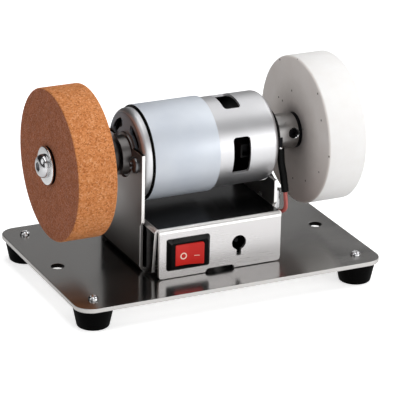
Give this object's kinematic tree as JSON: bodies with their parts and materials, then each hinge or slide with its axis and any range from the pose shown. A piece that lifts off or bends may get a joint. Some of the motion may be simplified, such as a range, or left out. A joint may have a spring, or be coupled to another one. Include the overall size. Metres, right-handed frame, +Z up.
{
  "type": "bench polishing machine",
  "caption": "Small bench polishing machine: motor on an angle bracket above a switch box, abrasive wheel at one shaft end and felt wheel at the other, on a footed plate.",
  "frame": {"origin": "centre of the bounding box's base, on the bench under the machine", "axes": "+X along the spindle from the orange abrasive wheel to the white felt wheel, -Y towards the user and the switch, +Z up"},
  "size_m": [0.1522, 0.1, 0.0955],
  "materials": {
    "plate_steel": "brushed, near mirror",
    "bracket_steel": "brushed, near mirror",
    "box_steel": "brushed",
    "screw_steel": "bright zinc",
    "foot_rubber": "matte",
    "motor_steel": "satin plated",
    "flux_steel": "plated, under a pale blue film",
    "bell_plastic": "matte",
    "card_plastic": "matte",
    "fan_plastic": "matte",
    "bearing_steel": "ground",
    "shaft_steel": "ground",
    "hub_steel": "turned, dark",
    "magnet_ferrite": "matte",
    "core_steel": "stacked sheet",
    "winding_copper": "enamelled",
    "commutator_copper": "polished",
    "brush_carbon": "matte",
    "terminal_brass": "tinned",
    "switch_plastic": "gloss",
    "rocker_plastic": "gloss, translucent red",
    "socket_plastic": "matte",
    "grommet_rubber": "matte",
    "clip_metal": "satin",
    "wire_red": "soft vinyl",
    "wire_black": "soft vinyl",
    "sleeve_shrink": "matte",
    "abrasive_orange": "coarse bonded grit",
    "felt_white": "pressed felt"
  },
  "bodies": {
    "stand": {"base_plate": "plate_steel", "motor_bracket": "bracket_steel", "switch_box": "box_steel", "lead_grommet": "grommet_rubber", "lead_clip": "clip_metal", "clip_screw": "screw_steel", "lead_red": "wire_red", "lead_black": "wire_black", "lead_sleeve_front": "sleeve_shrink", "lead_sleeve_rear": "sleeve_shrink", "motor_can": "motor_steel", "flux_sleeve": "flux_steel", "motor_end_bell": "bell_plastic", "bearing_front": "bearing_steel", "bearing_rear": "bearing_steel", "magnet_upper": "magnet_ferrite", "magnet_lower": "magnet_ferrite", "terminal_front": "terminal_brass", "terminal_rear": "terminal_brass", "brush_card": "card_plastic", "brush_front": "brush_carbon", "brush_rear": "brush_carbon", "motor_screw_front": "screw_steel", "motor_screw_rear": "screw_steel", "switch_housing": "switch_plastic", "switch_blade_left": "terminal_brass", "switch_blade_right": "terminal_brass", "power_socket": "socket_plastic", "socket_pin": "terminal_brass", "box_screw_front": "screw_steel", "box_screw_rear": "screw_steel", "foot_fl": "foot_rubber", "foot_screw_fl": "screw_steel", "bracket_screw_fl": "screw_steel", "foot_fr": "foot_rubber", "foot_screw_fr": "screw_steel", "bracket_screw_fr": "screw_steel", "foot_bl": "foot_rubber", "foot_screw_bl": "screw_steel", "bracket_screw_bl": "screw_steel", "foot_br": "foot_rubber", "foot_screw_br": "screw_steel", "bracket_screw_br": "screw_steel"},
    "spindle": {"motor_shaft": "shaft_steel", "rotor_core": "core_steel", "winding_front": "winding_copper", "winding_rear": "winding_copper", "commutator": "commutator_copper", "rotor_fan": "fan_plastic", "hub_orange": "hub_steel", "hub_white": "hub_steel", "set_screw_orange": "screw_steel", "set_screw_white": "screw_steel", "wheel_orange": "abrasive_orange", "wheel_white": "felt_white", "washer_orange": "screw_steel", "washer_white": "screw_steel", "wheel_screw_orange": "screw_steel", "wheel_screw_white": "screw_steel"},
    "rocker_key": {"rocker": "rocker_plastic"}
  },
  "joints": [
    {"name": "spindle_turn", "type": "hinge", "parent": "stand", "child": "spindle", "pos_m": [0, 0, 0.0611], "axis": [1, 0, 0], "continuous": true},
    {"name": "rocker_tilt", "type": "hinge", "parent": "stand", "child": "rocker_key", "pos_m": [-0.0171, -0.032, 0.0234], "axis": [0, 0, 1], "range_deg": [0, 14.4]}
  ]
}
